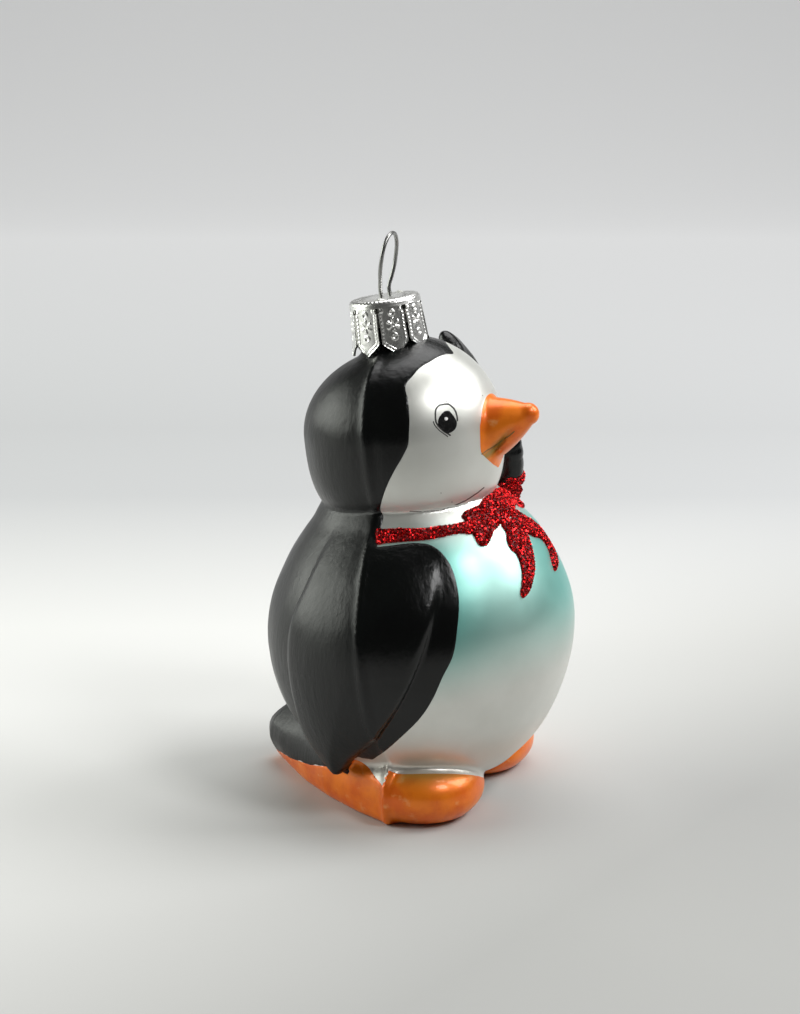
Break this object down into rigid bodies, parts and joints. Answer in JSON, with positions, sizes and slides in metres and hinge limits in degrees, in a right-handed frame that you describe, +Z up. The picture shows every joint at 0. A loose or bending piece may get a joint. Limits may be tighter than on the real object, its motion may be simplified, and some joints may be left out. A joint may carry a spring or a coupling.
{
  "type": "hanging glass penguin ornament",
  "caption": "Hanging penguin ornament of blown, lacquered glass with one wing raised, a stamped crown cap and a spring-wire loop; it also stands on its flat base.",
  "frame": {"origin": "on the flat base, under the middle of the figure where the leaning body's axis meets the stand", "axes": "+Z up, along the total height; the penguin faces -Y and its own right side, with the folded wing, is -X"},
  "size_m": [0.0522, 0.0534, 0.0897],
  "materials": {
    "silvered_glass": "silvered on the inside, satin",
    "pearl_lacquer": "pearl satin over silver",
    "black_lacquer": "brushed gloss",
    "orange_lacquer": "translucent gloss",
    "eye_paint": "gloss",
    "red_glitter": "coarse glitter in clear glue",
    "cap_tinplate": "stamped bright",
    "hanger_steel": "drawn wire"
  },
  "bodies": {
    "ornament": {"glass_body": "silvered_glass", "pearl_lacquer": "pearl_lacquer", "black_lacquer": "black_lacquer", "feet_lacquer": "orange_lacquer", "beak_lacquer": "orange_lacquer", "eye_right": "eye_paint", "eye_left": "eye_paint", "ribbon_band_right": "red_glitter", "ribbon_band_left": "red_glitter", "bow_loop_right": "red_glitter", "bow_loop_left": "red_glitter", "bow_knot": "red_glitter", "bow_tail_right": "red_glitter", "bow_tail_left": "red_glitter"},
    "cap": {"ornament_cap": "cap_tinplate"},
    "hanger": {"hanger_wire": "hanger_steel"}
  },
  "joints": [
    {"name": "cap_lift", "type": "slide", "parent": "ornament", "child": "cap", "axis": [0, 0.1564, 0.9877], "range_m": [0, 0.02]},
    {"name": "hanger_slide", "type": "slide", "parent": "cap", "child": "hanger", "axis": [0, 0.1564, 0.9877], "range_m": [-0.0008, 0.0008]}
  ]
}
